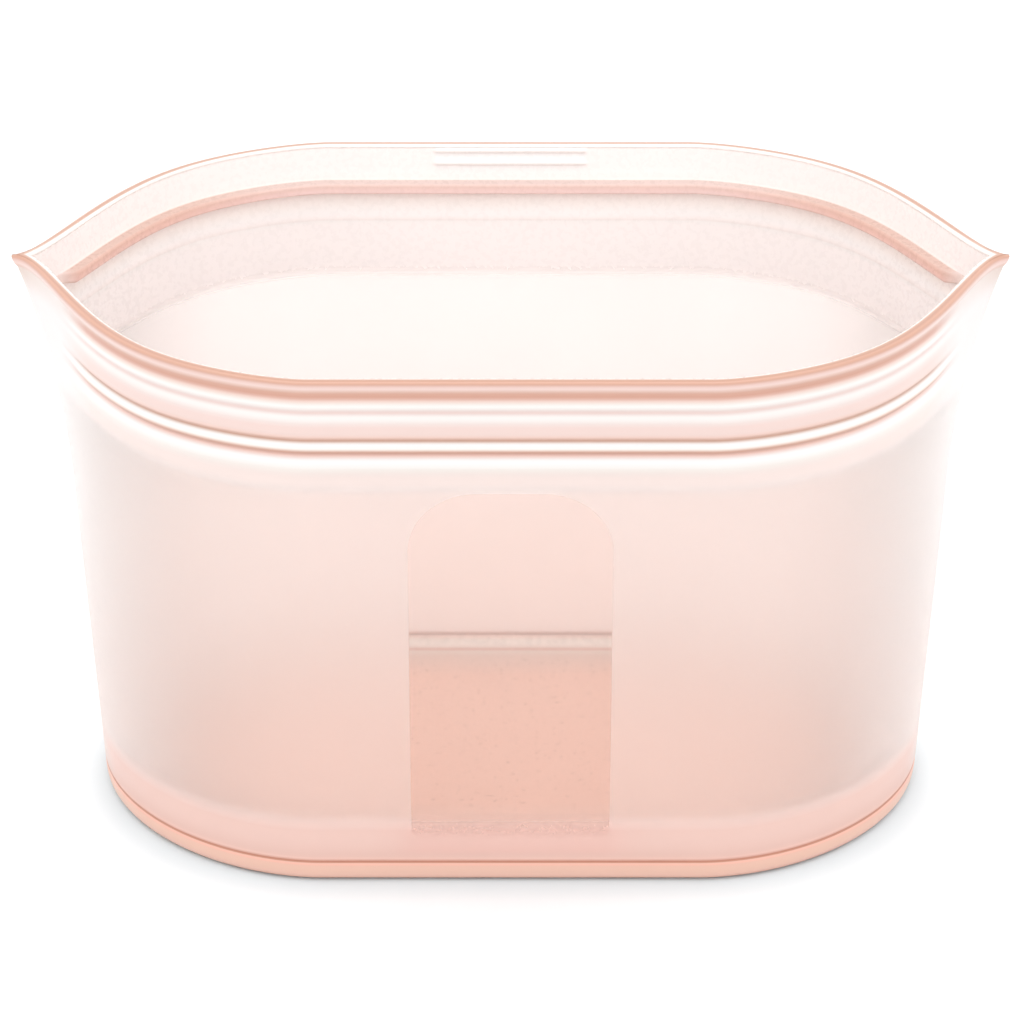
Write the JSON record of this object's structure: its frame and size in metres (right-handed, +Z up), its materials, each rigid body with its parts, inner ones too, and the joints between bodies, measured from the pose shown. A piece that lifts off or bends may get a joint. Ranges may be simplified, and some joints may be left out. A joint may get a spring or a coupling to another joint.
{
  "type": "reusable silicone food bag",
  "caption": "Free-standing translucent silicone food bag with a flat stadium base, flared walls, two pointed fused ears and a press-to-close zip inside an open mouth.",
  "frame": {"origin": "centre of the flat underside, on the surface the bag stands on", "axes": "+X along the length to the right ear seen from the front, +Y from the front (window side) to the back (grip-ridge side), +Z up out of the mouth"},
  "size_m": [0.175, 0.105, 0.1034],
  "materials": {
    "silicone_body": "satin translucent silicone, peach tint",
    "silicone_clear": "polished translucent silicone, the same peach tint looking deeper where it is thick",
    "silicone_zip": "solid silicone zip profile, the deepest tint because it is the thickest section",
    "silicone_lip": "satin translucent silicone lip and beads, lightest tint"
  },
  "bodies": {
    "root": {"floor_panel": "silicone_clear", "heel_ring": "silicone_clear", "front_wall": "silicone_body", "back_wall": "silicone_body", "left_end_wall": "silicone_body", "right_end_wall": "silicone_body", "window_panel": "silicone_clear", "front_wall_beads": "silicone_lip", "back_wall_beads": "silicone_lip", "front_left_band": "silicone_body", "front_right_band": "silicone_body", "back_left_band": "silicone_body", "back_right_band": "silicone_body", "front_left_zip": "silicone_zip", "front_right_zip": "silicone_zip", "back_left_zip": "silicone_zip", "back_right_zip": "silicone_zip", "front_left_lip": "silicone_lip", "front_right_lip": "silicone_lip", "back_left_lip": "silicone_lip", "back_right_lip": "silicone_lip", "left_ear": "silicone_lip", "right_ear": "silicone_lip"},
    "front_rim": {"front_band": "silicone_body", "front_zip_groove": "silicone_zip", "front_lip": "silicone_lip"},
    "back_rim": {"back_band": "silicone_body", "back_zip_rib": "silicone_zip", "back_lip": "silicone_lip", "back_grip_ridges": "silicone_lip"}
  },
  "joints": [
    {"name": "front_rim_close", "type": "slide", "parent": "root", "child": "front_rim", "axis": [0, 0.995, -0.0995], "range_m": [0, 0.0475], "stiffness_N_per_m": 40, "deforming": ["front_wall", "left_end_wall", "right_end_wall", "front_left_band", "front_right_band", "front_left_zip", "front_right_zip", "front_left_lip", "front_right_lip", "front_wall_beads", "window_panel", "left_ear", "right_ear"]},
    {"name": "back_rim_close", "type": "slide", "parent": "root", "child": "back_rim", "axis": [0, -0.995, -0.0995], "range_m": [0, 0.0475], "stiffness_N_per_m": 40, "deforming": ["back_wall", "back_left_band", "back_right_band", "back_left_zip", "back_right_zip", "back_left_lip", "back_right_lip", "back_wall_beads"]}
  ],
  "couplings": [
    {"joint": "back_rim_close", "follows": "front_rim_close", "ratio": 1}
  ]
}
